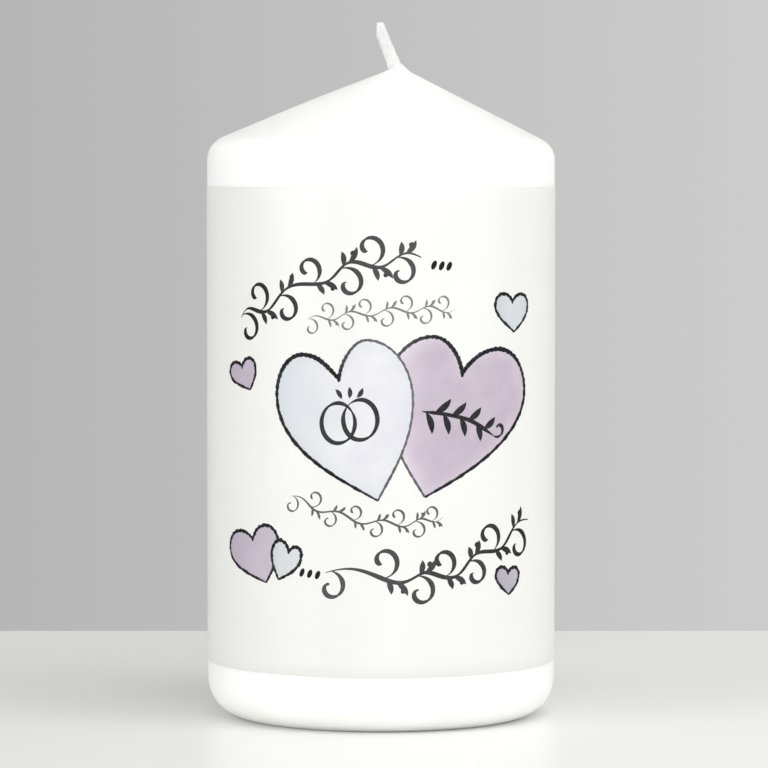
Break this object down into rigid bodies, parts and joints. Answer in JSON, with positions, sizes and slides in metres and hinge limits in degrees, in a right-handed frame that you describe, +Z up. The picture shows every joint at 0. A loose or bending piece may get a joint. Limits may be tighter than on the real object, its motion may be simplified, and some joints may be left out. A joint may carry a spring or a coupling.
{
  "type": "pillar candle",
  "caption": "White round pillar candle with a shallow cone top, rounded foot, a short leaning wick and a satin film wrap printed with outlined hearts.",
  "frame": {"origin": "centre of the flat base, on the axis of the candle's side", "axes": "+Z up along the candle, to the wick; the print on the wrap faces -Y; the cone's point and the wick's foot stand off the axis along +X and the free wick leans to -X"},
  "size_m": [0.0802, 0.0804, 0.1602],
  "materials": {
    "core_wax": "pressed paraffin granules, matt, slightly grainy",
    "coat_wax": "hard dipped paraffin wax, smooth, low sheen, slightly translucent",
    "wick_cotton": "bleached flat-plaited cotton",
    "prime_wax": "thin priming wax that shows the plait under it",
    "tinplate": "stamped tinplate, satin",
    "wrap_film": "white adhesive film, satin, with printed ink",
    "strip_paper": "uncoated white paper, blank"
  },
  "bodies": {
    "root": {"wax_core": "core_wax", "dipped_coat": "coat_wax", "wick_strand_1": "wick_cotton", "wick_strand_2": "wick_cotton", "wick_strand_3": "wick_cotton", "wick_prime_wax": "prime_wax", "wick_sustainer": "tinplate", "print_wrap": "wrap_film", "base_strip": "strip_paper"}
  },
  "joints": []
}
